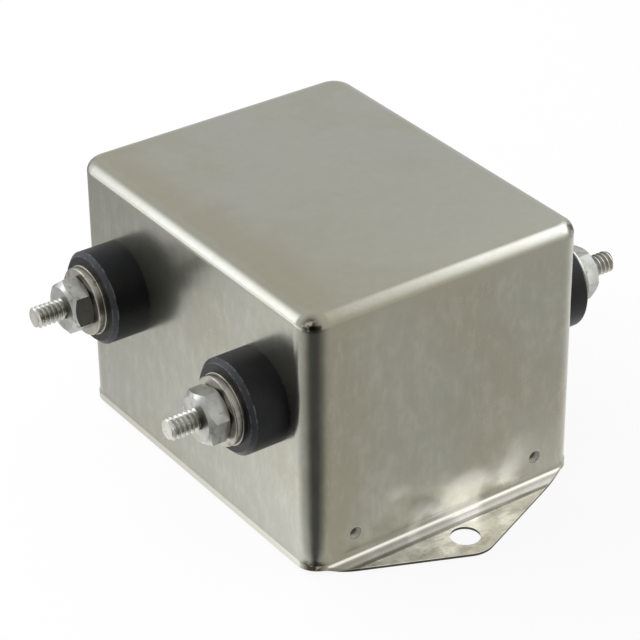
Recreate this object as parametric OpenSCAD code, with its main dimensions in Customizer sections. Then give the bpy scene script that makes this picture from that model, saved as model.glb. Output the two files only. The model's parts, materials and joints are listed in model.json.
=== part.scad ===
// Chassis-mount EMI line filter: a drawn steel can on two mounting ears, with four threaded
// stud terminals that stand on insulating bushings, two on each end wall.
// Origin: centre of the can on the mounting plane. +X runs along the studs, +Z is up.

/* [Can] */
// Length of the can between its end walls, outside
can_l = 50.6; // [48:0.2:64]
// Width of the can between its long walls, outside
can_w = 63.5; // [60:0.5:80]
// Height of the can from the mounting plane to the crown
can_h = 44.6; // [44:0.2:60]
// Thickness of the drawn sheet
sheet_t = 0.5; // [0.4:0.05:0.8]
// Outer radius of the four vertical corners
corner_r = 3.8; // [3:0.1:6]
// Outer radius of the edge round the crown
crown_r = 2.0; // [1.4:0.1:2.8]
// Inner radius of the flare where the wall turns out into the rim
rim_bend_r = 2.0; // [1:0.1:2.2]
// How far the trimmed rim stands out from the wall
rim_lip = 0.15; // [0.05:0.05:0.5]

/* [Mounting ears] */
// Distance from the long wall to the centre of the ear's hole
ear_hole_out = 4.8; // [4.5:0.1:8]
// Diameter of the ear's hole
ear_hole_d = 4.8; // [3.6:0.1:5.2]
// Radius of the ear's rounded end, about the hole
ear_end_r = 4.7; // [4:0.1:6]

/* [Cover and dimples] */
// Thickness of the cover's sheet
cover_t = 0.6; // [0.5:0.1:1]
// Height of the cover's turned-up rim, floor included
cover_rim_h = 5.0; // [4:0.1:6]
// Height of the cover's underside above the mounting plane
cover_z = 3.0; // [2.8:0.1:3.2]
// Gap between the cover's rim and the can
cover_gap = 0.15; // [0.1:0.05:0.3]
// Distance of each retaining dimple from the middle of its wall
dimple_x = 17.2; // [12:0.2:18]
// Height of the dimples above the mounting plane
dimple_z = 5.45; // [5:0.05:6]
// Radius of the punch that made the dimples
dimple_r = 1.1; // [0.8:0.05:1.2]

/* [Terminals] */
// Distance between the two studs on one end
stud_pitch = 38.4; // [36:0.2:44]
// Height of the stud axes above the mounting plane
stud_z = 26.7; // [25:0.1:30]
// Diameter over the stud's thread
stud_d = 3.5; // [3:0.1:3.8]
// Diameter of the stud's shank, from its head to the nut's outer face
shank_d = 3.0; // [2.6:0.1:3.2]
// How far the stud's tip stands out from the end wall
stud_out = 16.3; // [13:0.1:22]
// Chamfer at the stud's tip
tip_chamfer = 0.45; // [0.2:0.05:0.8]
// Width across the flats of the stud's hexagonal head
head_af = 6.35; // [5.5:0.05:7]
// Height of the stud's head
head_h = 2.4; // [1.5:0.1:3]
// Clearance on the radius between the shank and what it passes through
shank_gap = 0.1; // [0.05:0.05:0.3]

/* [Bushings] */
// Diameter of the bushing
bushing_d = 15.2; // [12:0.1:18]
// How far the bushing stands out from the end wall
bushing_h = 6.35; // [4:0.05:9]
// Width of the chamfer on the bushing's front edge
bushing_chamfer = 0.7; // [0.3:0.1:1.5]
// Diameter of the spigot that passes through the can's wall
spigot_d = 7.6; // [6:0.1:9]
// How far the spigot reaches in from the outer face of the wall
spigot_l = 1.3; // [1:0.1:1.5]
// Clearance round and behind the spigot
spigot_gap = 0.1; // [0.05:0.05:0.2]
// Diameter of the insulator inside the wall
insulator_d = 13.0; // [11:0.1:14]
// Thickness of the insulator inside the wall
insulator_t = 1.8; // [1.5:0.1:2.4]

/* [Washers and nuts] */
// Diameter of the flat washer on the bushing
flat_washer_d = 11.4; // [9:0.1:12]
// Thickness of the flat washer on the bushing
flat_washer_t = 0.5; // [0.4:0.05:1.4]
// Diameter of the clamp washer under the nut
clamp_washer_d = 11.0; // [9:0.1:12]
// Thickness of the clamp washer under the nut
clamp_washer_t = 1.05; // [0.6:0.05:1.4]
// Radius of the clamp washer's front edge
clamp_washer_round = 0.25; // [0.1:0.05:0.5]
// Width of the nut across its flats
nut_af = 7.9; // [7:0.05:9]
// Thickness of the nut
nut_h = 3.5; // [2.5:0.1:4]
// Depth of the chamfer on the corners of the nut's front face, along its axis
nut_chamfer = 0.85; // [0.4:0.05:1.2]
// Width of the same chamfer at the middle of each flat
nut_face_inset = 0.45; // [0.1:0.05:0.6]
// Depth of the chamfer on the corners of the nut's back face, along its axis
nut_back_chamfer = 0.45; // [0.2:0.05:0.8]
// Width of the back chamfer at the middle of each flat
nut_back_inset = 0.1; // [0.05:0.05:0.4]

/* [Solder lugs] */
// Thickness of the lug's sheet
lug_t = 0.5; // [0.3:0.05:0.8]
// Diameter of the lug's ring
lug_ring_d = 7.6; // [7:0.1:9]
// Width of the lug's tab
lug_tab_w = 3.2; // [2.8:0.1:4]
// Length of the tab from the stud's axis towards the middle of the can
lug_reach = 11.4; // [11:0.1:13]
// Diameter of the hole for the winding's end
lug_hole_d = 1.6; // [1.4:0.05:2]

/* [Choke] */
// Outer diameter of the coated core
core_od = 32.0; // [28:0.5:34]
// Inner diameter of the coated core
core_id = 19.0; // [17:0.5:20]
// Height of the coated core
core_h = 16.0; // [10:0.5:16]
// Radius of the core's edges
core_round = 1.0; // [0.5:0.1:1.5]
// Diameter of the winding wire
wire_d = 1.1; // [0.8:0.05:1.2]
// Turns of each winding
turns = 12; // [6:1:13]
// Angle of the core that each winding covers, in degrees
winding_arc = 140; // [110:5:145]
// Thickness of the carrier's plate
carrier_t = 1.2; // [1:0.1:2]
// Thickness of the divider between the two windings
divider_t = 1.2; // [0.8:0.1:2]
// Clearance between the windings and the sheet under the crown
crown_gap = 2.3; // [0.5:0.1:3]

/* [Capacitors and resistor] */
// Thickness of the box capacitors, along X
x_cap_t = 10.0; // [8:0.5:12]
// Length of the box capacitors, along Y
x_cap_l = 26.5; // [25:0.5:28]
// Distance from the middle of the can to the middle of a box capacitor
x_cap_x = 12.0; // [9:0.5:12]
// Distance between the leads of a box capacitor
x_cap_pitch = 22.5; // [20:0.5:23]
// Diameter of the disc capacitors
y_cap_d = 9.0; // [7:0.5:9]
// Thickness of the disc capacitors
y_cap_t = 4.2; // [3:0.1:4.4]
// Diameter of the capacitor and resistor leads
lead_d = 0.7; // [0.5:0.05:0.8]
// Diameter of the bleed resistor's body
resistor_d = 3.2; // [2:0.1:3.4]
// Length of the bleed resistor's body
resistor_l = 9.0; // [6:0.5:10]

/* [Insulation and joints] */
// Thickness of the insulating sheets
liner_t = 0.3; // [0.2:0.05:0.5]
// Clearance between an insulating sheet and the wall beside it
liner_gap = 0.1; // [0.05:0.05:0.2]
// Radius of the solder domes that earth the disc capacitors
joint_r = 1.6; // [1.2:0.1:2]

/* [Hidden] */
$fn = 64;

// Overlap of two shapes that are joined into one solid
eps = 0.01;
// How far a cutting shape runs past what it cuts
cut = 1;

// Terminals: side is the end wall (+X or -X), row the stud's place on it (+Y or -Y),
// and turn how far its nut happens to be turned.
TERMINALS = [
    [-1, -1, 43],
    [-1, 1, 50],
    [1, -1, 35],
    [1, 1, 12]
];

// The can
inside_l = can_l - 2 * sheet_t;
inside_w = can_w - 2 * sheet_t;
inside_x = inside_l / 2;
flare_h = sheet_t + rim_bend_r;
flange_reach = ear_hole_out + ear_end_r + cut;
ear_hole_y = can_w / 2 + ear_hole_out;
trim_r = corner_r + rim_lip;
corner_x = can_l / 2 - corner_r;
corner_y = can_w / 2 - corner_r;
// centre of the punch outside the wall, and how far its wall shows inside
dimple_out = 0.2;
dimple_wall = 0.4;

// Stack of each terminal, measured outwards from the outer face of the end wall
flat_washer_u = bushing_h;
clamp_washer_u = flat_washer_u + flat_washer_t;
nut_u = clamp_washer_u + clamp_washer_t;
nut_end_u = nut_u + nut_h;
insulator_u = -sheet_t - insulator_t;
lug_u = insulator_u - lug_t;
head_u = lug_u - head_h;
bore_r = shank_d / 2 + shank_gap;
spigot_hole_r = spigot_d / 2 + spigot_gap;
// inner face of the lugs, as a distance from the middle of the can
lug_face_x = can_l / 2 + lug_u;

// Base cover and the sheet on it
cover_l = inside_l - 2 * cover_gap;
cover_w = inside_w - 2 * cover_gap;
cover_r = corner_r - sheet_t - cover_gap;
cover_edge_r = 1.0;
cover_floor_z = cover_z + cover_t;
cover_top_z = cover_z + cover_rim_h;
dimple_hole_r = 1.5;
base_sheet_t = 0.4;
base_z = cover_floor_z + base_sheet_t;
// the sheet lies inside the cover's rounded inner edge
base_sheet_gap = cover_edge_r - cover_t + 0.1;

// The choke hangs a clearance below the crown, and the box capacitors under its carrier
// fill the height that is left above the base
wire_gap = 0.1;
wire_under = wire_d + wire_gap + 0.3;
choke_top = can_h - sheet_t - liner_gap - liner_t - crown_gap;
core_z = choke_top - wire_d - wire_gap - core_h;
carrier_top = core_z - wire_under;
x_cap_top = carrier_top - carrier_t;
x_cap_h = x_cap_top - base_z;
x_cap_edge = 0.6;
core_mid_z = core_z + core_h / 2;
core_mid_r = (core_od + core_id) / 4;
core_half_w = (core_od - core_id) / 4;

// Leads
lead_r = lead_d / 2;
lead_bend_r = 1.0;
lead_gap = 0.05;
lead_x = lug_face_x - lead_gap - lead_r;
lead_top_z = stud_z + 1.0;
lug_end_y = stud_pitch / 2 - lug_reach;
winding_y = lug_end_y + 1.8;
winding_z = stud_z + 0.3;
winding_end_x = lug_face_x + lug_t + 0.5;
x_cap_lead_z = base_z + 0.8 * x_cap_h;
y_cap_lead_y = x_cap_pitch / 2 + 2.15;
y_cap_y = y_cap_lead_y + 4.0;
y_cap_z = (base_z + stud_z) / 2 - 1.0;
ground_y = y_cap_y + 3.0;
resistor_z = stud_z - 1.1;
resistor_lead_end = winding_y - 0.2;

// ---- Shared shapes ----

// Block with rounded vertical corners and a rounded edge round its top
module crowned_block(l, w, h, r_corner, r_crown) {
    x = l / 2 - r_corner;
    y = w / 2 - r_corner;
    for (sx = [-1, 1], sy = [-1, 1]) {
        translate([sx * x, sy * y, 0])
            rotate_extrude()
                crowned_half(r_corner, h, r_crown);
    }
    rotate([90, 0, 90])
        translate([0, 0, -x])
            linear_extrude(2 * x)
                crowned_section(w, h, r_crown);
    rotate([90, 0, 0])
        translate([0, 0, -y])
            linear_extrude(2 * y)
                crowned_section(l, h, r_crown);
}

// Section with two rounded upper corners
module crowned_section(w, h, r) {
    translate([-w / 2, 0])
        square([w, h - r]);
    translate([-w / 2 + r, 0])
        square([w - 2 * r, h]);
    for (s = [-1, 1]) {
        translate([s * (w / 2 - r), h - r])
            circle(r);
    }
}

// The same section's right half, for revolving
module crowned_half(r_out, h, r) {
    square([r_out, h - r]);
    square([r_out - r, h]);
    translate([r_out - r, h - r])
        intersection() {
            circle(r);
            square(r);
        }
}

// Rectangle with rounded corners
module rounded_rect(l, w, r) {
    square([l - 2 * r, w], center = true);
    square([l, w - 2 * r], center = true);
    for (sx = [-1, 1], sy = [-1, 1]) {
        translate([sx * (l / 2 - r), sy * (w / 2 - r)])
            circle(r);
    }
}

// Disc with a bore and a rounded front edge; its back face lies at z = 0
module edged_ring(d, h, r_bore, r_edge) {
    difference() {
        rotate_extrude() {
            square([d / 2, h - r_edge]);
            square([d / 2 - r_edge, h]);
            translate([d / 2 - r_edge, h - r_edge])
                intersection() {
                    circle(r_edge);
                    square(r_edge);
                }
        }
        translate([0, 0, -cut])
            cylinder(r = r_bore, h = h + 2 * cut);
    }
}

// Puts a child made about +Z, with z = 0 on the wall's outer face, on terminal i
module at_terminal(i) {
    side = TERMINALS[i - 1][0];
    row = TERMINALS[i - 1][1];
    translate([side * can_l / 2, row * stud_pitch / 2, stud_z])
        mirror([side < 0 ? 1 : 0, 0, 0])
            mirror([0, row < 0 ? 1 : 0, 0])
                rotate([0, 90, 0])
                    children();
}

// One quarter-round bend of round wire
module bend(r_bend, r_wire) {
    rotate_extrude(angle = 90)
        translate([r_bend, 0])
            circle(r_wire);
}

// ---- Swept wire: a ring of points round each point of a path, carried without twist ----

function unit(v) = v / norm(v);
function tangent(path, i) =
    let (last = len(path) - 1)
    unit(path[min(i + 1, last)] - path[max(i - 1, 0)]);
function carried(n, t) = unit(n - (n * t) * t);
function normals(path, first) = [
    for (i = 0, n = carried(first, tangent(path, 0));
        i < len(path);
        i = i + 1, n = i < len(path) ? carried(n, tangent(path, i)) : n)
    n
];
function wire_points(path, r, sides, first) =
    let (ns = normals(path, first))
    [
        for (i = [0 : len(path) - 1], k = [0 : sides - 1])
        let (n = ns[i], b = cross(tangent(path, i), n), a = 360 * k / sides)
        path[i] + r * (cos(a) * n + sin(a) * b)
    ];
function wire_faces(count, sides) = concat(
    [[for (k = [0 : sides - 1]) k]],
    [
        for (i = [0 : count - 2], k = [0 : sides - 1])
        let (a = i * sides + k, b = i * sides + (k + 1) % sides)
        [a, a + sides, b + sides, b]
    ],
    [[for (k = [sides - 1 : -1 : 0]) (count - 1) * sides + k]]
);

module swept_wire(path, r, sides, first) {
    polyhedron(
        points = wire_points(path, r, sides, first),
        faces = wire_faces(len(path), sides),
        convexity = 10
    );
}

// ---- Can ----

// Section of the flare, from the wall at x = 0 outwards to reach
module flare_section(reach) {
    difference() {
        union() {
            intersection() {
                translate([-sheet_t, 0])
                    square(flare_h);
                translate([rim_bend_r, flare_h])
                    circle(flare_h);
            }
            translate([rim_bend_r - eps, 0])
                square([reach - rim_bend_r + eps, sheet_t]);
        }
        translate([rim_bend_r, flare_h])
            circle(rim_bend_r);
    }
}

// One side of the flange, at a distance out from the middle of the can
module flare_side(out, l) {
    translate([out, l / 2, 0])
        rotate([90, 0, 0])
            linear_extrude(l)
                flare_section(flange_reach);
}

// The flange as it is drawn, before it is trimmed
module drawn_flange() {
    for (sx = [0, 1]) {
        mirror([sx, 0, 0])
            flare_side(can_l / 2, 2 * corner_y);
        for (sy = [0, 1]) {
            mirror([sx, 0, 0])
                mirror([0, sy, 0])
                    translate([corner_x, corner_y, 0])
                        rotate_extrude(angle = 90)
                            translate([corner_r, 0])
                                flare_section(flange_reach);
        }
    }
    for (sy = [0, 1]) {
        mirror([0, sy, 0])
            rotate(90)
                flare_side(can_w / 2, 2 * corner_x);
    }
}

// Where the straight edge of an ear touches a circle: the edge is the common tangent
// of the ear's end, round the hole, and the trimmed corner.
ear_dx = corner_x;
ear_dy = corner_y - ear_hole_y;
ear_span = norm([ear_dx, ear_dy]);
ear_edge_angle = atan2(ear_dy, ear_dx) + acos((ear_end_r - trim_r) / ear_span);
ear_edge = [cos(ear_edge_angle), sin(ear_edge_angle)];

// Plan outline that the flange is trimmed to
module trim_outline() {
    rounded_rect(can_l + 2 * rim_lip, can_w + 2 * rim_lip, trim_r);
    for (s = [-1, 1]) {
        scale([1, s])
            ear_outline();
    }
}

module ear_outline() {
    end = [ear_end_r * ear_edge[0], ear_hole_y + ear_end_r * ear_edge[1]];
    base = [corner_x + trim_r * ear_edge[0], corner_y + trim_r * ear_edge[1]];
    translate([0, ear_hole_y])
        circle(ear_end_r);
    polygon([
        [-base[0], base[1]], [-corner_x, corner_y], [corner_x, corner_y], base,
        end, [0, ear_hole_y], [-end[0], end[1]]
    ]);
}

module can() {
    color([0.66, 0.65, 0.60])
        difference() {
            union() {
                difference() {
                    translate([0, 0, flare_h])
                        crowned_block(can_l, can_w, can_h - flare_h, corner_r, crown_r);
                    translate([0, 0, flare_h - cut])
                        crowned_block(inside_l, inside_w, can_h - flare_h - sheet_t + cut,
                            corner_r - sheet_t, crown_r - sheet_t);
                }
                intersection() {
                    drawn_flange();
                    linear_extrude(flare_h)
                        trim_outline();
                }
                dimples(dimple_r + dimple_wall, true);
            }
            dimples(dimple_r, false);
            for (s = [-1, 1]) {
                translate([0, s * ear_hole_y, -cut])
                    cylinder(d = ear_hole_d, h = sheet_t + 2 * cut);
            }
            for (i = [1 : 4]) {
                at_terminal(i)
                    translate([0, 0, -sheet_t - cut])
                        cylinder(r = spigot_hole_r, h = sheet_t + 2 * cut);
            }
        }
}

// Spheres of the dimples; only what lies inside the wall is kept of the raised ones
module dimples(r, inside) {
    for (sx = [-1, 1], sy = [-1, 1]) {
        intersection() {
            translate([sx * dimple_x, sy * (can_w / 2 + dimple_out), dimple_z])
                sphere(r);
            if (inside) {
                translate([sx * dimple_x, 0, dimple_z])
                    cube([4 * r, can_w - sheet_t, 4 * r], center = true);
            }
        }
    }
}

// ---- Base ----

module base_cover() {
    color([0.70, 0.69, 0.65])
        translate([0, 0, cover_z])
            difference() {
                cover_tray(cover_l, cover_w, cover_rim_h, cover_r, cover_edge_r);
                translate([0, 0, cover_t])
                    cover_tray(cover_l - 2 * cover_t, cover_w - 2 * cover_t, cover_rim_h,
                        cover_r - cover_t, cover_edge_r - cover_t);
                for (sx = [-1, 1]) {
                    translate([sx * dimple_x, 0, dimple_z - cover_z])
                        rotate([90, 0, 0])
                            cylinder(r = dimple_hole_r, h = can_w, center = true);
                }
            }
}

// Crowned block turned over, so that its rounded edge is at the bottom
module cover_tray(l, w, h, r_corner, r_edge) {
    translate([0, 0, h])
        mirror([0, 0, 1])
            crowned_block(l, w, h, r_corner, r_edge);
}

module base_insulator() {
    inset = 2 * (cover_t + base_sheet_gap);
    color([0.55, 0.42, 0.28])
        translate([0, 0, cover_floor_z])
            linear_extrude(base_sheet_t)
                difference() {
                    rounded_rect(cover_l - inset, cover_w - inset, cover_r - inset / 2);
                    for (s = [-1, 1]) {
                        translate([lead_x, s * ground_y])
                            circle(joint_r + 0.3);
                    }
                }
}

// Folded sheet under the crown and down the two long walls
module can_liner() {
    out_w = inside_w - 2 * liner_gap;
    top_z = can_h - sheet_t - liner_gap;
    low_z = cover_top_z + 1.0;
    liner_l = 2 * corner_x - 0.4;
    fold_r = crown_r - sheet_t;
    color([0.78, 0.70, 0.52])
        translate([-liner_l / 2, 0, low_z])
            rotate([90, 0, 90])
                linear_extrude(liner_l)
                    difference() {
                        crowned_section(out_w, top_z - low_z, fold_r);
                        translate([0, -cut])
                            crowned_section(out_w - 2 * liner_t, top_z - low_z - liner_t + cut,
                                fold_r - liner_t);
                    }
}

// ---- Choke ----

module choke_core() {
    color([0.30, 0.36, 0.32])
        translate([0, 0, core_z])
            rotate_extrude()
                translate([core_mid_r, core_h / 2])
                    rounded_rect(2 * core_half_w, core_h, core_round);
}

// Plate on the box capacitors, with two seats for the core and a divider through its eye
module choke_carrier() {
    plate_l = 2 * (x_cap_x + x_cap_t / 2) + 2;
    plate_w = core_od + 4;
    seat_w = 4.0;
    seat_in = core_id / 2 - 0.5;
    seat_out = core_od / 2 + 0.5;
    divider_l = core_id - 0.6;
    divider_h = choke_top - carrier_top;
    color([0.16, 0.16, 0.17])
        union() {
            translate([0, 0, x_cap_top])
                linear_extrude(carrier_t)
                    rounded_rect(plate_l, plate_w, 3);
            for (s = [-1, 1]) {
                translate([s * (seat_in + seat_out) / 2, 0, carrier_top + wire_under / 2])
                    cube([seat_out - seat_in, seat_w, wire_under], center = true);
            }
            translate([-divider_l / 2, -divider_t / 2, carrier_top - eps])
                cube([divider_l, divider_t, divider_h + eps]);
        }
}

// One turn round the core's section: twelve points on its four rounded corners, each as
// [distance out, height, share of the turn]
loop_steps = 3;
loop_r = core_round + wire_d / 2 + wire_gap;
loop_w = 2 * (core_half_w - core_round);
loop_h = core_h - 2 * core_round;
loop_arc = PI / 2 * loop_r;
loop_len = 4 * loop_arc + 2 * loop_w + 2 * loop_h;
LOOP = [
    for (corner = [0 : 3], j = [0 : loop_steps])
    let (
        a = 90 * corner + 90 * j / loop_steps,
        sx = corner == 0 || corner == 3 ? 1 : -1,
        sz = corner < 2 ? 1 : -1,
        straight = [0, loop_w, loop_w + loop_h, 2 * loop_w + loop_h][corner]
    )
    [
        core_mid_r + sx * loop_w / 2 + loop_r * cos(a),
        core_mid_z + sz * loop_h / 2 + loop_r * sin(a),
        (straight + loop_arc * (corner + j / loop_steps)) / loop_len
    ]
];
winding_start = 90 + winding_arc / 2;
function around(r, z, a) = [r * cos(a), r * sin(a), z];
// Turns from the end wall at -X round to the one at +X
COIL = [
    for (turn = [0 : turns - 1], p = LOOP)
    around(p[0], p[1], winding_start - winding_arc * (turn + p[2]) / turns)
];
coil_out_r = core_mid_r + loop_w / 2 + loop_r;
lead_low_z = winding_z + 0.6;
coil_end = winding_start - winding_arc;
// The wire's two ends, from the lugs to the coil
LEAD_IN = [
    [-winding_end_x, winding_y, winding_z],
    [-lug_face_x + 1.4, winding_y, winding_z],
    [-lug_face_x + 2.8, winding_y - 0.3, winding_z],
    around(coil_out_r + 1.6, winding_z + 0.2, winding_start - 1),
    around(coil_out_r + 0.4, lead_low_z + 0.6, winding_start),
    around(coil_out_r, lead_low_z + 2.2, winding_start)
];
LEAD_OUT = [
    around(coil_out_r, winding_z - 1.6, coil_end),
    around(coil_out_r + 0.5, winding_z - 0.5, coil_end),
    around(coil_out_r + 1.8, winding_z, coil_end + 1),
    [lug_face_x - 2.8, winding_y - 0.3, winding_z],
    [lug_face_x - 1.4, winding_y, winding_z],
    [winding_end_x, winding_y, winding_z]
];

module winding(side) {
    path = concat(LEAD_IN, COIL, LEAD_OUT);
    color([0.72, 0.40, 0.20])
        rotate(side > 0 ? 0 : 180)
            swept_wire(path, wire_d / 2, 6, [0, 0, 1]);
}

// ---- Capacitors, resistor and earth joints ----

// Moulded box with two leads that rise beside the lugs
module x_capacitor(side) {
    wall_x = x_cap_x + x_cap_t / 2;
    run = lead_x - lead_bend_r - wall_x;
    color([0.86, 0.72, 0.24])
        mirror([side < 0 ? 1 : 0, 0, 0])
            union() {
                translate([x_cap_x, 0, base_z])
                    linear_extrude(x_cap_h)
                        rounded_rect(x_cap_t, x_cap_l, x_cap_edge);
                for (s = [-1, 1]) {
                    translate([wall_x - 1, s * x_cap_pitch / 2, x_cap_lead_z])
                        rotate([0, 90, 0])
                            cylinder(r = lead_r, h = run + 1);
                    translate([wall_x + run, s * x_cap_pitch / 2, x_cap_lead_z + lead_bend_r])
                        rotate([90, 0, 0])
                            rotate(-90)
                                bend(lead_bend_r, lead_r);
                    translate([lead_x, s * x_cap_pitch / 2, x_cap_lead_z + lead_bend_r])
                        cylinder(r = lead_r, h = lead_top_z - x_cap_lead_z - lead_bend_r);
                }
            }
}

// Disc with one lead up to the lug and one down to the earthed cover
module y_capacitor(row) {
    edge = y_cap_t / 2 - 0.6;
    color([0.20, 0.42, 0.66])
        mirror([0, row < 0 ? 1 : 0, 0])
            union() {
                translate([lead_x, y_cap_y, y_cap_z])
                    rotate([0, 90, 0])
                        rotate_extrude() {
                            translate([0, -y_cap_t / 2])
                                square([y_cap_d / 2 - edge, y_cap_t]);
                            translate([0, -y_cap_t / 2 + edge])
                                square([y_cap_d / 2, y_cap_t - 2 * edge]);
                            for (s = [-1, 1]) {
                                translate([y_cap_d / 2 - edge, s * (y_cap_t / 2 - edge)])
                                    circle(edge);
                            }
                        }
                translate([lead_x, y_cap_lead_y, y_cap_z])
                    cylinder(r = lead_r, h = lead_top_z - y_cap_z);
                translate([lead_x, ground_y, cover_floor_z + lead_gap])
                    cylinder(r = lead_r, h = y_cap_z - cover_floor_z - lead_gap);
            }
}

// Solder dome on the cover's floor round the disc capacitor's lead
module ground_joint(row) {
    color([0.75, 0.75, 0.74])
        translate([lead_x, row * ground_y, cover_floor_z])
            difference() {
                intersection() {
                    sphere(joint_r);
                    translate([-joint_r - cut, -joint_r - cut, 0])
                        cube(2 * (joint_r + cut));
                }
                translate([0, 0, -cut])
                    cylinder(r = lead_r + lead_gap, h = joint_r + 2 * cut);
            }
}

// Axial resistor across the two lugs of the -X end
module bleed_resistor() {
    color([0.76, 0.66, 0.50])
        translate([-lead_x, 0, resistor_z])
            rotate([90, 0, 0])
                union() {
                    cylinder(r = lead_r, h = 2 * resistor_lead_end, center = true);
                    cylinder(d = resistor_d * 0.86, h = resistor_l, center = true);
                    for (s = [-1, 1]) {
                        translate([0, 0, s * (resistor_l / 2 - 1.2)])
                            cylinder(d = resistor_d, h = 2.4, center = true);
                    }
                }
}

// ---- Terminal pieces, each about +Z with z = 0 on the wall's outer face ----

module stud() {
    color([0.80, 0.80, 0.78])
        union() {
            translate([0, 0, head_u])
                cylinder(d = head_af / cos(30), h = head_h, $fn = 6);
            translate([0, 0, lug_u - eps])
                cylinder(d = shank_d, h = nut_end_u - lug_u + eps);
            translate([0, 0, nut_end_u])
                cylinder(d = stud_d, h = stud_out - tip_chamfer - nut_end_u);
            translate([0, 0, stud_out - tip_chamfer])
                cylinder(d1 = stud_d, d2 = stud_d - 2 * tip_chamfer, h = tip_chamfer);
        }
}

module bushing() {
    color([0.10, 0.10, 0.11])
        difference() {
            union() {
                cylinder(d = bushing_d, h = bushing_h - bushing_chamfer);
                translate([0, 0, bushing_h - bushing_chamfer])
                    cylinder(d1 = bushing_d, d2 = bushing_d - 2 * bushing_chamfer, h = bushing_chamfer);
                translate([0, 0, -spigot_l])
                    cylinder(d = spigot_d, h = spigot_l + eps);
            }
            translate([0, 0, -spigot_l - cut])
                cylinder(r = bore_r, h = spigot_l + bushing_h + 2 * cut);
        }
}

module inner_insulator() {
    recess = spigot_l - sheet_t + spigot_gap;
    color([0.10, 0.10, 0.11])
        translate([0, 0, insulator_u])
            difference() {
                cylinder(d = insulator_d, h = insulator_t);
                translate([0, 0, -cut])
                    cylinder(r = bore_r, h = insulator_t + 2 * cut);
                translate([0, 0, insulator_t - recess])
                    cylinder(r = spigot_hole_r, h = recess + cut);
            }
}

// Ring with a tab towards the middle of the can
module solder_lug() {
    color([0.78, 0.74, 0.62])
        translate([0, 0, lug_u])
            linear_extrude(lug_t)
                difference() {
                    union() {
                        circle(d = lug_ring_d);
                        translate([-lug_tab_w / 2, -lug_reach + lug_tab_w / 2])
                            square([lug_tab_w, lug_reach - lug_tab_w / 2]);
                        translate([0, -lug_reach + lug_tab_w / 2])
                            circle(d = lug_tab_w);
                    }
                    circle(bore_r);
                    translate([stud_z - winding_z, winding_y - stud_pitch / 2])
                        circle(d = lug_hole_d);
                }
}

module flat_washer() {
    color([0.74, 0.72, 0.66])
        translate([0, 0, flat_washer_u])
            edged_ring(flat_washer_d, flat_washer_t, bore_r, flat_washer_t / 4);
}

module clamp_washer() {
    color([0.76, 0.74, 0.68])
        translate([0, 0, clamp_washer_u])
            edged_ring(clamp_washer_d, clamp_washer_t, bore_r, clamp_washer_round);
}

// Hexagon with its corners turned off at both faces
module nut(turn) {
    corner = nut_af / cos(30) / 2;
    flat = nut_af / 2;
    color([0.80, 0.80, 0.78])
        translate([0, 0, nut_u])
            rotate(turn)
                difference() {
                    intersection() {
                        cylinder(r = corner, h = nut_h, $fn = 6);
                        rotate_extrude()
                            polygon([
                                [0, 0], [flat - nut_back_inset, 0], [corner, nut_back_chamfer],
                                [corner, nut_h - nut_chamfer], [flat - nut_face_inset, nut_h],
                                [0, nut_h]
                            ]);
                    }
                    translate([0, 0, -cut])
                        cylinder(r = bore_r, h = nut_h + 2 * cut);
                }
}

can();
base_cover();
base_insulator();
can_liner();
choke_core();
choke_carrier();
winding(1);  // winding_1
winding(-1);  // winding_2
x_capacitor(-1);  // x_capacitor_1
x_capacitor(1);  // x_capacitor_2
y_capacitor(-1);  // y_capacitor_1
y_capacitor(1);  // y_capacitor_2
bleed_resistor();
ground_joint(-1);  // ground_joint_1
ground_joint(1);  // ground_joint_2
for (i = [1 : 4]) {
    at_terminal(i) stud();
    at_terminal(i) bushing();
    at_terminal(i) inner_insulator();
    at_terminal(i) solder_lug();
    at_terminal(i) flat_washer();
    at_terminal(i) clamp_washer();
    at_terminal(i) nut(TERMINALS[i - 1][2]);
}
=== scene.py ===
import json
import math

import bpy
import numpy as np
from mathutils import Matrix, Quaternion, Vector


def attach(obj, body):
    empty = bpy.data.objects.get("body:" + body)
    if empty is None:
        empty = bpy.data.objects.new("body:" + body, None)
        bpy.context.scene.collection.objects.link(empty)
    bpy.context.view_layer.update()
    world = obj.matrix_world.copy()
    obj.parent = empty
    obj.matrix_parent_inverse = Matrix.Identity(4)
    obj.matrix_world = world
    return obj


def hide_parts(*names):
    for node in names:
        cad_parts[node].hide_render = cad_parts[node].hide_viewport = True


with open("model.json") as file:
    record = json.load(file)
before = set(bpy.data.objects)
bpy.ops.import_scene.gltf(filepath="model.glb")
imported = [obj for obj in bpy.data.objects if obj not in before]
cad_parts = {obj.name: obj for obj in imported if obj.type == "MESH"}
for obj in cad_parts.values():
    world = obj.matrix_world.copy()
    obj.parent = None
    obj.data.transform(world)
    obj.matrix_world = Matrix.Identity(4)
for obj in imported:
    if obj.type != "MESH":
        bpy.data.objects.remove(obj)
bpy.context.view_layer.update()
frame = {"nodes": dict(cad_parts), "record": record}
print("frame: %d nodes" % len(frame["nodes"]))
mm = 0.001


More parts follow.
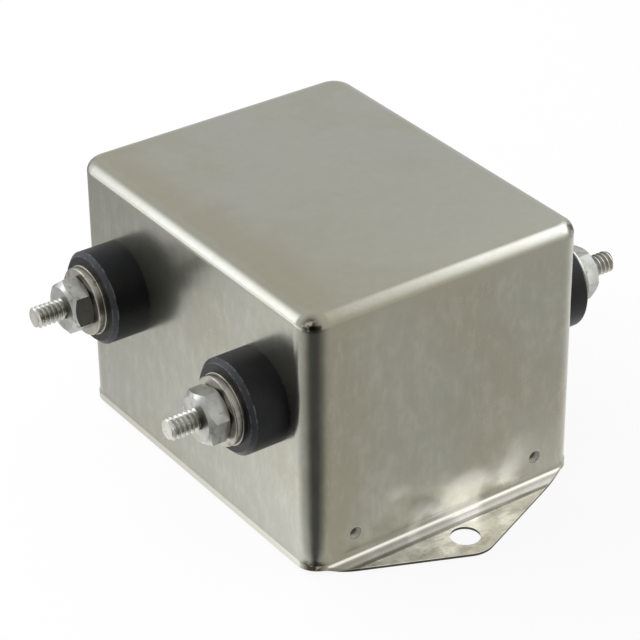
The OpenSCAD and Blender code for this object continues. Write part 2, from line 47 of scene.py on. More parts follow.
class Signal:
    # A node's output that takes part in arithmetic: each operation adds one Math node.
    def __init__(self, bench, socket):
        self.bench = bench
        self.socket = socket

    def worked(self, operation, first, second=None, clamp=False):
        values = {0: first} if second is None else {0: first, 1: second}
        settings = {"operation": operation, "use_clamp": clamp}
        return self.bench.add("ShaderNodeMath", settings, values)

    def __add__(self, other):
        return self.worked("ADD", self, other)

    def __radd__(self, other):
        return self.worked("ADD", other, self)

    def __sub__(self, other):
        return self.worked("SUBTRACT", self, other)

    def __rsub__(self, other):
        return self.worked("SUBTRACT", other, self)

    def __mul__(self, other):
        return self.worked("MULTIPLY", self, other)

    def __rmul__(self, other):
        return self.worked("MULTIPLY", other, self)

    def __truediv__(self, other):
        return self.worked("DIVIDE", self, other)

    def __rtruediv__(self, other):
        return self.worked("DIVIDE", other, self)

    def clipped(self):
        return self.worked("ADD", self, 0.0, clamp=True)

    def root(self):
        return self.worked("SQRT", self)

    def size(self):
        return self.worked("ABSOLUTE", self)

    def angleTo(self, across):
        # Angle of the point (across, self), -pi to pi
        return self.worked("ARCTAN2", self, across)

    def fraction(self):
        return self.worked("FRACT", self)


class Bench:
    # The node tree of one material or world, and the ways to add to it. Lengths are in mm.
    def __init__(self, tree):
        self.tree = tree
        tree.nodes.clear()

    def add(self, kind, settings=None, values=None, out=0):
        made = self.tree.nodes.new(kind)
        for key, value in (settings or {}).items():
            if key == "stops":
                self.setStops(made.color_ramp, value)
            else:
                setattr(made, key, value)
        for key, value in (values or {}).items():
            if isinstance(value, Signal):
                self.tree.links.new(value.socket, made.inputs[key])
            else:
                made.inputs[key].default_value = value
        return Signal(self, made.outputs[out]) if len(made.outputs) else made

    def setStops(self, ramp, stops):
        while len(ramp.elements) < len(stops):
            ramp.elements.new(1.0)
        for element, (place, shade) in zip(ramp.elements, stops):
            element.position = place
            element.color = (*shade, 1.0)

    def greyRamp(self, place, stops):
        # Brightness by place 0..1, as shares of the brightest stop, which is given back as well
        top = max(level for _, level in stops)
        greys = [(at, (level / top,) * 3) for at, level in stops]
        return self.add("ShaderNodeValToRGB", {"stops": greys}, {0: place}), top

    def objectPoint(self):
        return self.add("ShaderNodeTexCoord", out="Object")

    def scaled(self, vector, factor):
        values = {0: vector, "Scale": factor}
        return self.add("ShaderNodeVectorMath", {"operation": "SCALE"}, values)

    def axes(self, point):
        split = self.add("ShaderNodeSeparateXYZ", None, {0: self.scaled(point, 1.0 / mm)})
        outputs = split.socket.node.outputs
        return [Signal(self, outputs[k]) for k in range(3)]

    def stretched(self, point, scale):
        return self.add("ShaderNodeMapping", None, {"Vector": point, "Scale": scale})

    def noise(self, point, scale, detail, roughness):
        values = {"Vector": point, "Scale": scale, "Detail": detail, "Roughness": roughness}
        return self.add("ShaderNodeTexNoise", None, values, out="Fac")

    def between(self, value, low, high, toLow=0.0, toHigh=1.0):
        # value from low..high carried to toLow..toHigh, with soft ends
        values = {0: value, 1: low, 2: high, 3: toLow, 4: toHigh}
        return self.add("ShaderNodeMapRange", {"interpolation_type": "SMOOTHSTEP"}, values)

    def mixed(self, share, first, second):
        # first colour at share 0, second at share 1
        values = {0: share, 6: first, 7: second}
        return self.add("ShaderNodeMix", {"data_type": "RGBA"}, values, out=2)

    def bumped(self, height, strength, depth, normal=None):
        values = {"Height": height, "Strength": strength, "Distance": depth * mm}
        if normal is not None:
            values["Normal"] = normal
        return self.add("ShaderNodeBump", None, values)

    def surface(self, shader):
        self.add("ShaderNodeOutputMaterial", None, {"Surface": shader})

    def principled(self, values):
        self.surface(self.add("ShaderNodeBsdfPrincipled", None, values))

    def glowing(self, shade):
        self.surface(self.add("ShaderNodeEmission", None, {"Color": shade, "Strength": 1.0}))


def newMaterial(name):
    material = bpy.data.materials.new(name)
    material.use_nodes = True
    return material, Bench(material.node_tree)


def colour(red, green, blue):
    # sRGB values of 0 to 255 as the linear colour a shader takes
    parts = np.array([red, green, blue]) / 255.0
    linear = np.where(parts <= 0.04045, parts / 12.92, ((parts + 0.055) / 1.055) ** 2.4)
    return (*[float(p) for p in linear], 1.0)


# Noises are (scale per metre, detail, roughness). Ranges are (low, high) or (low, high, value
# at low, value at high): of a height or a distance from the can's middle in mm, or of a noise.
canLook = {
    # Some of these shades stand for light: painted light on the ears and low walls, painted
    # highlights on the lip, bend and dimples, painted shade in the bend and dimples, and a painted
    # shadow along the cut edge
    "metal": colour(155, 155, 144), "warm": colour(149, 145, 128), "cool": colour(153, 154, 145),
    "stainAndShade": colour(58, 44, 30), "paintedLight": colour(238, 236, 227), "edge": colour(44, 39, 33),
    "paleToneAndHighlight": colour(196, 194, 184), "scratch": colour(128, 116, 98), "bend": colour(112, 109, 100),
    "polish": 0.96, "polishSpread": 0.10, "roughness": 0.22, "roughnessSpread": 0.14,
    # warm and cool areas, with a warm band beside the -X wall
    "slow": (16.8, 2.0, 0.4), "coolShare": (0.35, 0.65, 0.0, 0.8),
    "blotch": (42.0, 4.0, 0.6), "warmShare": (0.46, 0.66, 0.0, 0.5),
    "bandStart": (-24.6, -22.0), "bandEnd": (-22.0, -14.0, 1.0, 0.0), "bandWarmth": 0.85,
    "longWall": (31.2, 31.6), "longWarmth": 0.4,
    # mottling, weaker on the crown, and the finest grain
    "mottle": (520.0, 5.0, 0.72), "mottleStretch": (1.0, 1.0, 0.45),
    "mottleDark": (0.42, 0.66, 0.0, 0.11), "mottlePale": (0.34, 0.50, 0.11, 0.0),
    "walls": (40.0, 42.5, 1.0, 0.25),
    "fleck": (3200.0, 2.0, 0.7), "fleckStain": (0.70, 0.80, 0.0, 0.35),
    "fleckRough": 0.06, "fleckRoughWalls": 0.14,
    "streak": (1.0, 2.0, 0.6), "streakStretch": (900.0, 900.0, 22.0), "streakRough": 0.05,
    # dark brown patches on the four corners, at the crown and at the foot
    "cornerX": (22.3, 23.9), "cornerY": (28.7, 30.3), "crownZ": 43.6,
    "crownReach": (0.5, 1.5, 1.0, 0.0), "footReach": (1.6, 3.2, 1.0, 0.0),
    "patchNoise": (700.0, 2.0, 0.5), "patchShare": (0.36, 0.50),
    # the pressed dimples: a dull pit with a painted highlight over it and painted shade in its
    # middle
    "dimpleX": 17.2, "dimpleZ": 5.5, "pit": (1.0, 1.25, 1.0, 0.0), "core": (0.46, 0.92, 0.9, 0.0),
    "pitPaintedHighlight": 0.6, "pitRough": 0.4, "pitDull": 0.65,
    # painted light: pale clouds over the ears, and scratches on the ears
    "ear": (33.0, 34.4), "cloud": (170.0, 3.0, 0.6), "cloudStretch": (1.0, 2.2, 1.0),
    "cloudShare": (0.34, 0.58, 0.5, 1.0), "scratches": (1.0, 3.0, 0.6),
    "scratchStretch": (260.0, 900.0, 260.0), "scratchShare": (0.54, 0.72, 0.0, 0.35),
    # painted reflections: pale patches low on the long walls
    "paintedReflectionZ": (2.5, 13.0, 1.0, 0.0), "paintedReflectionX": (9.5, 19.0, 1.0, 0.0), "paintedReflection": (120.0, 1.5, 0.5),
    "paintedReflectionStretch": (1.0, 1.0, 1.4), "paintedReflectionShare": (0.46, 0.66), "paintedReflectionPale": 0.62,
    # a painted highlight on the lip at the foot of the end walls
    "lipZ": (1.8, 2.1, 1.0, 0.0), "lipX": (25.3, 25.4), "lipPaintedHighlight": 0.8,
    # the bend between a long wall and its ear: painted shade beside the ear, a painted highlight
    # above that
    "bendStart": (31.8, 32.0), "bendEnd": (33.7, 34.0, 1.0, 0.0),
    "bendPaintedShade": (1.0, 1.15, 0.7, 0.0), "bendZ": 1.45, "bendPaintedHighlight": (0.06, 0.30, 0.95, 0.0),
    # a painted shadow along the sheet's cut edge, darker on the ears
    "cutZ": (0.376, 0.47, 1.0, 0.0), "cutPaintedShadow": 0.65, "cutPaintedShadowEar": 0.3, "cutEar": (32.0, 32.4),
    # relief, depths in mm
    "fineStrength": 0.5, "fleckDepth": 0.010, "streakDepth": 0.004, "waveStrength": 0.35,
    "wave": (70.0, 2.0, 0.5), "waveDepth": 0.10, "crumple": (230.0, 3.0, 0.55),
    "crumpleDepth": 0.35,
}


class CanPlace:
    # Where a point lies on the can, and the noises and areas that more than one step needs.
    def __init__(self, b):
        look = canLook
        self.point = b.objectPoint()
        self.x, y, self.z = b.axes(self.point)
        self.fromMiddle = self.x.size()
        self.fromAxis = y.size()
        self.blotch = b.noise(self.point, *look["blotch"])
        self.fleck = b.noise(self.point, *look["fleck"])
        self.streak = b.noise(b.stretched(self.point, look["streakStretch"]), *look["streak"])
        self.walls = b.between(self.z, *look["walls"])
        self.longWall = b.between(self.fromAxis, *look["longWall"])
        self.ear = b.between(self.fromAxis, *look["ear"])
        self.dimple = self.dimpleDistance()
        self.pit = b.between(self.dimple, *look["pit"])

    def dimpleDistance(self):
        sideways = self.fromMiddle - canLook["dimpleX"]
        upward = self.z - canLook["dimpleZ"]
        return (sideways * sideways + upward * upward).root()


def steelTone(b, place):
    # Neutral to cool steel, warmed in blotches, on the long walls and in the band, then mottled
    look = canLook
    slow = b.noise(place.point, *look["slow"])
    tone = b.mixed(b.between(slow, *look["coolShare"]), look["metal"], look["cool"])
    band = b.between(place.x, *look["bandStart"]) * b.between(place.x, *look["bandEnd"])
    warmth = look["bandWarmth"] * band + look["longWarmth"] * place.longWall
    warmth = (warmth + b.between(place.blotch, *look["warmShare"])).clipped()
    tone = b.mixed(warmth, tone, look["warm"])
    mottle = b.noise(b.stretched(place.point, look["mottleStretch"]), *look["mottle"])
    tone = b.mixed(b.between(mottle, *look["mottleDark"]) * place.walls, tone, look["bend"])
    return b.mixed(b.between(mottle, *look["mottlePale"]) * place.walls, tone, look["paleToneAndHighlight"])


def darkCornersAndPaintedDimples(b, place, tone):
    # Dark brown patches at the corners, and in the dimples a painted highlight and painted shade
    look = canLook
    corner = b.between(place.fromMiddle, *look["cornerX"])
    corner = corner * b.between(place.fromAxis, *look["cornerY"])
    ends = b.between((place.z - look["crownZ"]).size(), *look["crownReach"])
    ends = (ends + b.between(place.z, *look["footReach"])).clipped()
    patchNoise = b.between(b.noise(place.point, *look["patchNoise"]), *look["patchShare"])
    tone = b.mixed(corner * ends * patchNoise, tone, look["stainAndShade"])
    # Painted highlight over the dimples and painted shade in their middle
    tone = b.mixed(place.pit * look["pitPaintedHighlight"], tone, look["paleToneAndHighlight"])
    return b.mixed(b.between(place.dimple, *look["core"]), tone, look["stainAndShade"])


def paintedLightAndScratches(b, place, tone):
    # Painted light on the ears, painted reflections low on the long walls, and scratches on the
    # ears
    look = canLook
    # Painted light: the ears made paler in clouds
    cloud = b.noise(b.stretched(place.point, look["cloudStretch"]), *look["cloud"])
    tone = b.mixed(place.ear * b.between(cloud, *look["cloudShare"]), tone, look["paintedLight"])
    # Painted reflections: pale patches low on the long walls
    area = b.between(place.z, *look["paintedReflectionZ"]) * b.between(place.fromMiddle, *look["paintedReflectionX"])
    paintedReflection = b.noise(b.stretched(place.point, look["paintedReflectionStretch"]), *look["paintedReflection"])
    area = area * b.between(paintedReflection, *look["paintedReflectionShare"]) * place.longWall * look["paintedReflectionPale"]
    tone = b.mixed(area, tone, look["paintedLight"])
    marks = b.noise(b.stretched(place.point, look["scratchStretch"]), *look["scratches"])
    return b.mixed(place.ear * b.between(marks, *look["scratchShare"]), tone, look["scratch"])


def footed(b, place, tone):
    # The foot of the walls: a painted highlight on the lip, painted shade and a painted highlight
    # on the bend into the ear, and a painted shadow along the sheet's cut edge
    look = canLook
    # Painted highlight on the lip
    paleToneAndHighlight = b.between(place.z, *look["lipZ"]) * b.between(place.fromMiddle, *look["lipX"])
    tone = b.mixed(paleToneAndHighlight * look["lipPaintedHighlight"], tone, look["paleToneAndHighlight"])
    bend = b.between(place.fromAxis, *look["bendStart"])
    bend = bend * b.between(place.fromAxis, *look["bendEnd"])
    # Painted shade low in the bend, then a painted highlight above it
    tone = b.mixed(bend * b.between(place.z, *look["bendPaintedShade"]), tone, look["bend"])
    bendPaintedHighlight = b.between((place.z - look["bendZ"]).size(), *look["bendPaintedHighlight"])
    tone = b.mixed(bend * bendPaintedHighlight, tone, look["paintedLight"])
    # Painted shadow along the sheet's cut edge
    onEar = b.between(place.fromAxis, *look["cutEar"])
    dark = look["cutPaintedShadow"] + look["cutPaintedShadowEar"] * onEar
    return b.mixed(b.between(place.z, *look["cutZ"]) * dark, tone, look["edge"])


def canRelief(b, place):
    # Grain and drawing streaks, then slow waves all over, and a crumple on the ears
    look = canLook
    relief = b.bumped(place.fleck, look["fineStrength"], look["fleckDepth"])
    relief = b.bumped(place.streak, look["fineStrength"], look["streakDepth"], relief)
    wave = b.noise(place.point, *look["wave"])
    relief = b.bumped(wave, look["waveStrength"], look["waveDepth"], relief)
    crumple = b.noise(place.point, *look["crumple"]) * place.ear
    return b.bumped(crumple, look["waveStrength"], look["crumpleDepth"], relief)


def canFinish():
    material, b = newMaterial("SatinCanSteel")
    look = canLook
    place = CanPlace(b)
    tone = footed(b, place, paintedLightAndScratches(b, place, darkCornersAndPaintedDimples(b, place, steelTone(b, place))))
    tone = b.mixed(b.between(place.fleck, *look["fleckStain"]), tone, look["stainAndShade"])
    grainRough = look["fleckRough"] + look["fleckRoughWalls"] * place.walls
    rough = look["roughness"] + look["roughnessSpread"] * (place.blotch - 0.5)
    rough = rough + grainRough * (place.fleck - 0.5)
    rough = rough + look["streakRough"] * (place.streak - 0.5) + look["pitRough"] * place.pit
    polish = look["polish"] + look["polishSpread"] * (place.blotch - 0.5)
    polish = polish - look["pitDull"] * place.pit
    b.principled({"Base Color": tone, "Metallic": polish, "Roughness": rough,
                  "Normal": canRelief(b, place)})
    return material


terminalPlace = {"y": 19.2, "z": 26.7, "wall": 25.3}


def terminalRadius(y, z):
    # Distance from the axis of the nearest terminal
    across = y.size() - terminalPlace["y"]
    upward = z - terminalPlace["z"]
    return (across * across + upward * upward).root()


bushingLook = {
    # The lighter shades stand for light: a painted sheen on the chamfer and painted highlights
    # along its edges
    "black": colour(14, 14, 15), "dust": colour(32, 33, 36), "band": colour(43, 44, 47),
    "paintedEdgeHighlight": colour(84, 85, 88), "roughness": 0.45, "mottleRough": 0.12, "grainRough": 0.06,
    "specular": 0.22,
    "mottle": (160.0, 4.0, 0.6), "dustShare": (0.4, 0.75, 0.0, 0.6),
    "grain": (700.0, 3.0, 0.6), "grainShare": 0.7, "strength": 0.5, "grainDepth": 0.016,
    # the chamfer round the outer face starts this far out and ends at this radius
    "start": 5.65, "startEdge": (-0.05, 0.05), "inner": 6.9, "innerEdge": (6.8, 6.9),
    # a painted sheen: a lighter band over the chamfer
    "paintedSheenShare": (0.3, 0.6, 0.55, 1.0),
    # painted highlights along both edges of the chamfer, broken in places
    "edgeHighlightReach": (0.04, 0.16, 1.0, 0.0), "outerEdge": (7.3, 7.5),
    "edgeHighlightShare": (0.45, 0.62, 0.0, 0.7),
}


def bushingFinish():
    material, b = newMaterial("MouldedBlackBushing")
    look = bushingLook
    point = b.objectPoint()
    x, y, z = b.axes(point)
    mottle = b.noise(point, *look["mottle"])
    grain = b.noise(point, *look["grain"])
    tone = b.mixed(b.between(mottle, *look["dustShare"]), look["black"], look["dust"])
    radius = terminalRadius(y, z)
    outward = x.size() - (terminalPlace["wall"] + look["start"])
    chamfer = b.between(outward, *look["startEdge"]) * b.between(radius, *look["innerEdge"])
    # Painted sheen over the chamfer
    tone = b.mixed(chamfer * b.between(mottle, *look["paintedSheenShare"]), tone, look["band"])
    # Painted highlights along both edges of the chamfer
    innerLine = b.between((radius - look["inner"]).size(), *look["edgeHighlightReach"]) * chamfer
    outerLine = b.between(outward.size(), *look["edgeHighlightReach"])
    edgeHighlight = (innerLine + outerLine * b.between(radius, *look["outerEdge"])).clipped()
    tone = b.mixed(edgeHighlight * b.between(grain, *look["edgeHighlightShare"]), tone, look["paintedEdgeHighlight"])
    rough = look["roughness"] + look["mottleRough"] * (mottle - 0.5)
    rough = rough + look["grainRough"] * (grain - 0.5)
    height = look["grainShare"] * grain + (1.0 - look["grainShare"]) * mottle
    bump = b.bumped(height, look["strength"], look["grainDepth"])
    b.principled({"Base Color": tone, "Roughness": rough, "Normal": bump,
                  "Specular IOR Level": look["specular"]})
    return material


platingLook = {
    "haze": (300.0, 3.0, 0.6), "hazeShare": (0.35, 0.7), "dull": 0.72, "hazeRough": 0.12,
    "grain": (900.0, 2.0, 0.6), "chip": colour(84, 80, 72), "chipShare": (0.58, 0.68),
    "grainShare": 0.6, "strength": 0.4,
    # name, shade, roughness, darkness of the chips and depth of the relief
    "stud_plating": ("StudPlating", colour(184, 183, 174), 0.30, 0.3, 0.006),
    "washer_plating": ("WasherPlating", colour(158, 155, 144), 0.30, 0.5, 0.014),
    "nut_plating": ("NutPlating", colour(166, 167, 161), 0.32, 0.45, 0.012),
}


def platedFinish(name, shade, roughness, chips, depth):
    # Bright plating on turned hardware, hazed and chipped by handling
    material, b = newMaterial(name)
    look = platingLook
    point = b.objectPoint()
    haze = b.noise(point, *look["haze"])
    grain = b.noise(point, *look["grain"])
    dulled = (*[look["dull"] * part for part in shade[:3]], 1.0)
    tone = b.mixed(b.between(haze, *look["hazeShare"]), shade, dulled)
    tone = b.mixed(b.between(grain, *look["chipShare"], 0.0, chips), tone, look["chip"])
    rough = roughness + look["hazeRough"] * (haze - 0.5)
    height = look["grainShare"] * grain + (1.0 - look["grainShare"]) * haze
    bump = b.bumped(height, look["strength"], depth)
    b.principled({"Base Color": tone, "Metallic": 1.0, "Roughness": rough, "Normal": bump})
    return material


# What lies inside the can: name, shade, darker shade, scale of the clouds and roughness,
# then how metallic it is and how deep its grain is where that isn't plain
innerLook = {
    "cover_steel": ("CoverSteel", colour(168, 167, 160), colour(150, 147, 138), 60.0,
                    0.34, 1.0, 0.01),
    "insulating_sheet": ("PressedBoard", colour(176, 146, 104), colour(152, 120, 80), 240.0, 0.85),
    "liner_film": ("LinerFilm", colour(214, 200, 164), colour(200, 184, 144), 120.0, 0.5),
    "ferrite": ("CoatedFerrite", colour(88, 98, 90), colour(70, 80, 72), 200.0, 0.6),
    "carrier_plastic": ("CarrierPlastic", colour(46, 46, 48), colour(36, 36, 38), 180.0, 0.55),
    "enamelled_copper": ("EnamelledCopper", colour(196, 112, 66), colour(170, 84, 44), 220.0,
                         0.22, 1.0, 0.004),
    "capacitor_box": ("CapacitorBox", colour(218, 186, 92), colour(206, 170, 74), 90.0, 0.35),
    "capacitor_disc": ("CapacitorDisc", colour(58, 98, 156), colour(44, 80, 136), 90.0, 0.3),
    "resistor_body": ("ResistorBody", colour(206, 182, 142), colour(186, 158, 116), 150.0, 0.4),
    "solder": ("Solder", colour(196, 196, 194), colour(168, 168, 164), 260.0, 0.28, 1.0),
    "lug_tin": ("TinnedLug", colour(206, 200, 180), colour(186, 178, 154), 200.0, 0.3, 1.0),
}
innerGrain = {
    "detail": 4.0, "fineDetail": 3.0, "coarseness": 0.6, "cloudShare": (0.3, 0.7),
    "roughnessSpread": 0.15, "finer": 6.0, "strength": 0.4,
}


def plainGrain(name, shade, darker, scale, roughness, metallic=0.0, depth=0.02):
    material, b = newMaterial(name)
    look = innerGrain
    point = b.objectPoint()
    cloud = b.noise(point, scale, look["detail"], look["coarseness"])
    tone = b.mixed(b.between(cloud, *look["cloudShare"]), shade, darker)
    rough = roughness + look["roughnessSpread"] * (cloud - 0.5)
    fine = b.noise(point, scale * look["finer"], look["fineDetail"], look["coarseness"])
    bump = b.bumped(fine, look["strength"], depth)
    b.principled({"Base Color": tone, "Metallic": metallic, "Roughness": rough, "Normal": bump})
    return material


finishes = {"can_steel": canFinish(), "bushing_moulding": bushingFinish()}
for slotName in ("stud_plating", "washer_plating", "nut_plating"):
    finishes[slotName] = platedFinish(*platingLook[slotName])
for slotName, row in innerLook.items():
    finishes[slotName] = plainGrain(*row)
slotOf = {row["node"]: row["material_slot"] for row in frame["record"]["subparts"]}
for nodeName, solid in frame["nodes"].items():
    solid.data.materials.clear()
    solid.data.materials.append(finishes[slotOf[nodeName]])
print("finishes: %d on %d nodes" % (len(finishes), len(frame["nodes"])))


# Radii and places along the stud in mm, the places counted out from the end wall's outer face
studShape = {
    "crest": 1.75, "root": 1.31, "pitch": 0.794, "shank": 1.50, "headFlats": 6.35,
    "headFrom": -5.2, "headTo": -2.8, "headChamfer": (0.3, 0.35), "threadFrom": 11.4, "tip": 16.3,
    "chamfer": 0.22, "around": 48, "perTurn": 14,
    # shares of half a pitch taken by the flat crest and by the flank
    "crestShare": 0.14, "flankShare": 0.68,
}


def gridMesh(name, points):
    # points is rows x around x 3; each row joins the next, and the ends are closed by a fan
    rows, around = points.shape[:2]
    mesh = bpy.data.meshes.new(name)
    flat = points.reshape(-1, 3)
    ends = np.stack([points[0].mean(0), points[-1].mean(0)])
    vertices = np.concatenate([flat, ends])
    row, column = np.meshgrid(np.arange(rows - 1), np.arange(around), indexing="ij")
    turned = (column + 1) % around
    low, high = row * around, (row + 1) * around
    quads = np.stack([low + column, low + turned, high + turned, high + column], -1).reshape(-1, 4)
    ring = np.arange(around)
    nextRing = (ring + 1) % around
    last = (rows - 1) * around
    bottom = np.stack([nextRing, ring, np.full(around, len(flat))], -1)
    top = np.stack([last + ring, last + nextRing, np.full(around, len(flat) + 1)], -1)
    mesh.from_pydata(vertices.tolist(), [], quads.tolist() + bottom.tolist() + top.tolist())
    mesh.update()
    return mesh


def studRadius(u, angle):
    # Thread: distance from the crest line, in half pitches, folded to 0..1, then a straight
    # flank between a narrow crest and root; cut down to a cone at the tip
    s = studShape
    phase = (u / s["pitch"] - angle / (2 * np.pi)) % 1.0
    fold = np.abs(phase - 0.5) * 2.0
    flank = np.clip((fold - s["crestShare"]) / s["flankShare"], 0.0, 1.0)
    thread = s["root"] + (s["crest"] - s["root"]) * (1 - flank)
    cone = s["crest"] - np.clip(u - (s["tip"] - s["chamfer"]), 0.0, None)
    return np.minimum(thread, cone)


def studPoints():
    # Rows along the stud: a hexagon, half its flats over the cosine of the angle from the
    # middle of the nearest flat, for the head, then the round shank, then the thread
    s = studShape
    angle = np.linspace(0, 2 * np.pi, s["around"], endpoint=False)
    turns = (s["tip"] - s["threadFrom"]) / s["pitch"]
    threadU = np.linspace(s["threadFrom"], s["tip"], int(turns * s["perTurn"]) + 1)
    sixth = (angle + np.pi / 6) % (np.pi / 3) - np.pi / 6
    hexagon = s["headFlats"] / 2 / np.cos(sixth)
    shank = np.full_like(angle, s["shank"])
    along, inward = s["headChamfer"]
    rows = [(s["headFrom"], hexagon - inward), (s["headFrom"] + along, hexagon),
            (s["headTo"], hexagon), (s["headTo"], shank), (s["threadFrom"], shank)]
    u = np.concatenate([[r[0] for r in rows], threadU])
    thread = studRadius(threadU[:, None], angle[None, :])
    radius = np.concatenate([[r[1] for r in rows], thread])
    uu = np.broadcast_to(u[:, None], radius.shape)
    return np.stack([radius * np.cos(angle), radius * np.sin(angle), uu], -1)


def placed(points, side, row):
    # From the terminal's own frame, u along +Z, to the end wall: u runs out along side
    t = terminalPlace
    x = side * (t["wall"] + points[..., 2])
    y = row * t["y"] + points[..., 0]
    z = t["z"] + points[..., 1] * side
    return np.stack([x, y, z], -1) * mm


terminals = {1: (-1, -1), 2: (-1, 1), 3: (1, -1), 4: (1, 1)}
for number, (side, row) in terminals.items():
    mesh = gridMesh("ThreadedStud%d" % number, placed(studPoints(), side, row))
    stud = bpy.data.objects.new("ThreadedStud%d" % number, mesh)
    bpy.context.scene.collection.objects.link(stud)
    mesh.materials.append(finishes["stud_plating"])
    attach(stud, "root")
    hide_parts("stud_%d" % number)
print("studs: %d with threads" % len(terminals))


stageLook = {"floorSize": 3.0, "floorShade": (0.92, 0.92, 0.91, 1.0), "whiteShare": 0.90}


def whiteRays(b):
    # 1 where the camera, a reflection or a ray through glass looks, which all see plain white
    seen = b.add("ShaderNodeLightPath", out="Is Camera Ray")
    outputs = seen.socket.node.outputs
    others = [Signal(b, outputs[name]) for name in ("Is Glossy Ray", "Is Transmission Ray")]
    return (seen + others[0] + others[1]).clipped()


def makeFloor():
    half = stageLook["floorSize"] / 2
    mesh = bpy.data.meshes.new("StudioFloor")
    corners = [(-half, -half, 0), (half, -half, 0), (half, half, 0), (-half, half, 0)]
    mesh.from_pydata(corners, [], [(0, 1, 2, 3)])
    floor = bpy.data.objects.new("StudioFloor", mesh)
    bpy.context.scene.collection.objects.link(floor)
    material, b = newMaterial("PaleFloor")
    paper = b.add("ShaderNodeBsdfDiffuse", None, {"Color": stageLook["floorShade"]})
    glow = b.add("ShaderNodeEmission", None, {"Color": (1, 1, 1, 1), "Strength": 1.0})
    share = whiteRays(b) * stageLook["whiteShare"]
    b.surface(b.add("ShaderNodeMixShader", None, {0: share, 1: paper, 2: glow}))
    mesh.materials.append(material)


lampLook = {
    "worldFill": 0.7,
    "lamps": {
        "SoftboxLeft": {"from": (-0.50, 0.70, 0.42), "distance": 0.5, "size": (0.55, 0.50),
                        "power": 2.8},
    },
}
objectMiddle = Vector((0.0, 0.0, 0.022))


def makeWorld():
    world = bpy.data.worlds.new("StudioWorld")
    bpy.context.scene.world = world
    world.use_nodes = True
    b = Bench(world.node_tree)
    fill = lampLook["worldFill"]
    level = b.scaled((1.0, 1.0, 1.0), fill + whiteRays(b) * (1.0 - fill))
    shade = b.add("ShaderNodeBackground", None, {"Color": level, "Strength": 1.0})
    b.add("ShaderNodeOutputWorld", None, {"Surface": shade})


def makeLamps():
    for name, spec in lampLook["lamps"].items():
        lamp = bpy.data.lights.new(name, "AREA")
        lamp.shape = "RECTANGLE"
        lamp.size, lamp.size_y = spec["size"]
        lamp.energy = spec["power"]
        holder = bpy.data.objects.new(name, lamp)
        bpy.context.scene.collection.objects.link(holder)
        direction = Vector(spec["from"]).normalized()
        holder.location = objectMiddle + direction * spec["distance"]
        holder.rotation_mode = "QUATERNION"
        holder.rotation_quaternion = direction.to_track_quat("Z", "Y")
        holder.visible_glossy = False


def makeReflected(name, points, faces, material):
    # A piece of the room that only reflections meet; points are in mm
    mesh = bpy.data.meshes.new(name)
    mesh.from_pydata((points * mm).tolist(), [], faces)
    thing = bpy.data.objects.new(name, mesh)
    bpy.context.scene.collection.objects.link(thing)
    mesh.materials.append(material)
    thing.visible_camera = False
    thing.visible_diffuse = False
    thing.visible_shadow = False
    thing.visible_transmission = False


tableLook = {
    "middle": (-25.3, -31.75), "radius": 420.0, "height": 0.15, "around": 72,
    # brightness by compass angle about the near corner, from +X towards +Y
    "shades": [(0, 1.2), (60, 1.1), (95, 1.25), (118, 1.5), (130, 1.65), (148, 1.25),
               (162, 0.90), (176, 0.72), (188, 0.50), (200, 0.26), (213, 0.10), (246, 0.10),
               (262, 0.28), (279, 0.52), (288, 0.72), (298, 0.84), (310, 0.88), (330, 0.86),
               (344, 0.92), (351, 1.1), (360, 1.2)],
    # it fades towards +Y, is lit again far out on the -X side, and brightens beside the can
    "fade": (-16.0, 120.0, 1.0, 0.42), "far": (-200.0, -85.0, 1.6, 0.0),
    "near": (4.4, 44.0, 1.12, 1.0),
}


def makeTable():
    # What polished metal sees of the table: a disc, its rim one radius from the near corner at
    # equal angles, dark on the side that nobody has lit
    t = tableLook
    angle = np.linspace(0, 2 * np.pi, t["around"], endpoint=False)
    ring = np.stack([np.cos(angle), np.sin(angle), np.zeros_like(angle)], -1) * t["radius"]
    points = ring + np.array([*t["middle"], t["height"]])
    material, b = newMaterial("TableShade")
    x, y = b.axes(b.objectPoint())[:2]
    east, north = x - t["middle"][0], y - t["middle"][1]
    compass = (north.angleTo(east) / (2 * math.pi) + 1.0).fraction()
    stops = [(degrees / 360.0, level) for degrees, level in t["shades"]]
    shade, top = b.greyRamp(compass, stops)
    fade = b.between(y, *t["fade"]) + b.between(x, *t["far"])
    near = b.between((east * east + north * north).root(), *t["near"])
    b.glowing(b.scaled(shade, fade * near * top))
    makeReflected("ReflectedTable", points, [list(range(t["around"]))], material)


cardLook = {
    "around": 36, "across": 6, "radius": 400.0,
    # unlit side of the room: a wall of the given height round the near corner, by compass angle
    "darkFrom": 198.0, "darkTo": 262.0, "darkHeight": 260.0, "dark": (0.045, 0.045, 0.045, 1.0),
    # Long lights, each a band of a cone about one axis: lean is the share of the way that lies
    # along the axis, and turn is the angle about it, up from the side the light starts on.
    # glow lists the brightness above the room's at each turn.
    "tint": (1.0, 1.0, 0.985, 1.0), "glowTint": (0.90, 0.915, 1.0, 1.0), "glowLift": 1.1,
    "lights": {
        "LightRight": {"axis": 0, "start": 1, "lean": (0.46, 0.85), "turn": (2.0, 142.0),
                       "rise": (0.482, 0.505), "gain": (0.48, 0.60, 1.0, 1.45),
                       "glow": [(2, 0.0), (16, 0.2), (34, 0.95), (54, 1.75), (74, 2.1),
                                (94, 2.1), (110, 1.75), (122, 0.9), (134, 0.0)]},
        "LightLeft": {"axis": 1, "start": 0, "lean": (0.50, 0.95), "turn": (0.5, 84.0),
                      "rise": (0.50, 0.53), "gain": (0.735, 0.775, 1.0, 0.30),
                      "glow": [(0, 2.4), (13, 2.5), (33, 2.4), (53, 1.7), (66, 0.8), (84, 0.0)]},
    },
}


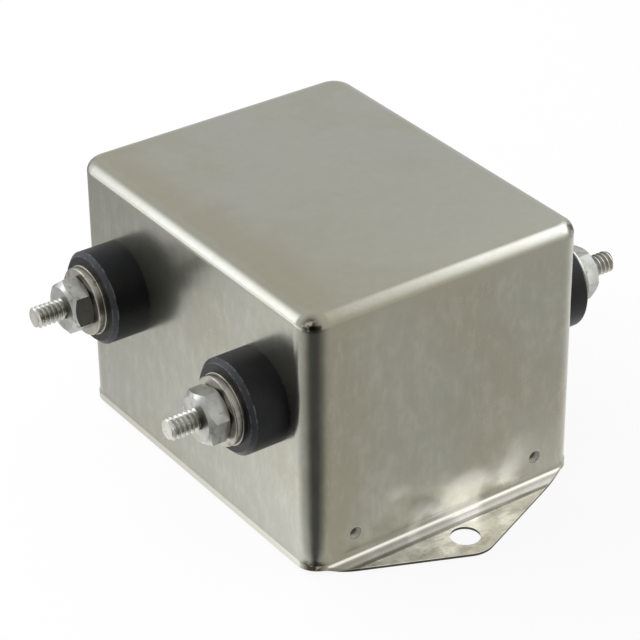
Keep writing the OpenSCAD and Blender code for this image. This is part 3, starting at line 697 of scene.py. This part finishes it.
def makeCard(name, points, material):
    # points is rows x columns x 3
    rows, columns = points.shape[:2]
    row, column = np.meshgrid(np.arange(rows - 1), np.arange(columns - 1), indexing="ij")
    first = (row * columns + column).ravel()
    quads = np.stack([first, first + 1, first + 1 + columns, first + columns], -1)
    makeReflected(name, points.reshape(-1, 3), quads.tolist(), material)


def glowPaper(name, spec):
    # Brightness over a long light: the room's 1, plus the glow at this turn, rising along the lean
    material, b = newMaterial(name)
    way = b.axes(b.objectPoint())
    way[2] = way[2] - objectMiddle.z / mm
    along, side = way[spec["axis"]], way[spec["start"]]
    far = (along * along + side * side + way[2] * way[2]).root()
    turn = way[2].angleTo(0.0 - side) / math.pi
    glow, peak = b.greyRamp(turn, [(degrees / 180.0, level) for degrees, level in spec["glow"]])
    lean = along / far
    lit = glow * b.between(lean, *spec["rise"])
    tint = b.mixed(lit, cardLook["tint"], cardLook["glowTint"])
    level = 1.0 + lit * b.between(lean, *spec["gain"]) * (peak * cardLook["glowLift"])
    b.glowing(b.scaled(tint, level))
    return material


def makeCards():
    # A dark wall, foot and head on one circle, then each long light: the way from the object's
    # middle is lean along the axis and the rest of a unit length turned about it
    c, t = cardLook, tableLook
    angle = np.radians(np.linspace(c["darkFrom"], c["darkTo"], c["around"]))
    foot = np.stack([np.cos(angle), np.sin(angle), np.zeros_like(angle)], -1) * c["radius"]
    foot = foot + np.array([*t["middle"], t["height"]])
    head = foot + np.array([0.0, 0.0, c["darkHeight"]])
    material, b = newMaterial("DarkPaper")
    b.glowing(c["dark"])
    makeCard("DarkCard", np.stack([foot, head]), material)
    middle = np.array(objectMiddle) / mm
    for name, spec in c["lights"].items():
        lean = np.linspace(*spec["lean"], c["across"])[:, None]
        turn = np.radians(np.linspace(*spec["turn"], c["around"]))[None, :]
        rest = np.sqrt(1 - lean ** 2)
        way = np.zeros((c["across"], c["around"], 3))
        way[..., spec["axis"]] = lean
        way[..., spec["start"]] = -rest * np.cos(turn)
        way[..., 2] = rest * np.sin(turn)
        makeCard(name, way * c["radius"] + middle, glowPaper(name + "Paper", spec))


cameraView = {
    "azimuth": -34.8485, "elevation": 31.3280, "roll": -0.5801, "distance": 414.06,
    "target": (-2.712, -2.213, 23.065), "lens": 148.59, "sensor": 36.0, "clip": (0.01, 20.0),
}


def makeCamera():
    # Back is the way from the target to the camera: azimuth turns it from -Y, elevation lifts it
    v = cameraView
    a, e = math.radians(v["azimuth"]), math.radians(v["elevation"])
    back = Vector((math.sin(a) * math.cos(e), -math.cos(a) * math.cos(e), math.sin(e)))
    data = bpy.data.cameras.new("PartCamera")
    data.lens, data.sensor_width = v["lens"], v["sensor"]
    data.clip_start, data.clip_end = v["clip"]
    camera = bpy.data.objects.new("PartCamera", data)
    bpy.context.scene.collection.objects.link(camera)
    camera.location = (Vector(v["target"]) + back * v["distance"]) * mm
    camera.rotation_mode = "QUATERNION"
    turned = Quaternion((0.0, 0.0, 1.0), math.radians(v["roll"]))
    camera.rotation_quaternion = (-back).to_track_quat("-Z", "Y") @ turned
    bpy.context.scene.camera = camera


makeFloor()
makeWorld()
makeLamps()
makeTable()
makeCards()
makeCamera()
bpy.context.scene.view_settings.view_transform = "Standard"
print("stage: floor, table, cards, %d lamp and camera" % len(lampLook["lamps"]))
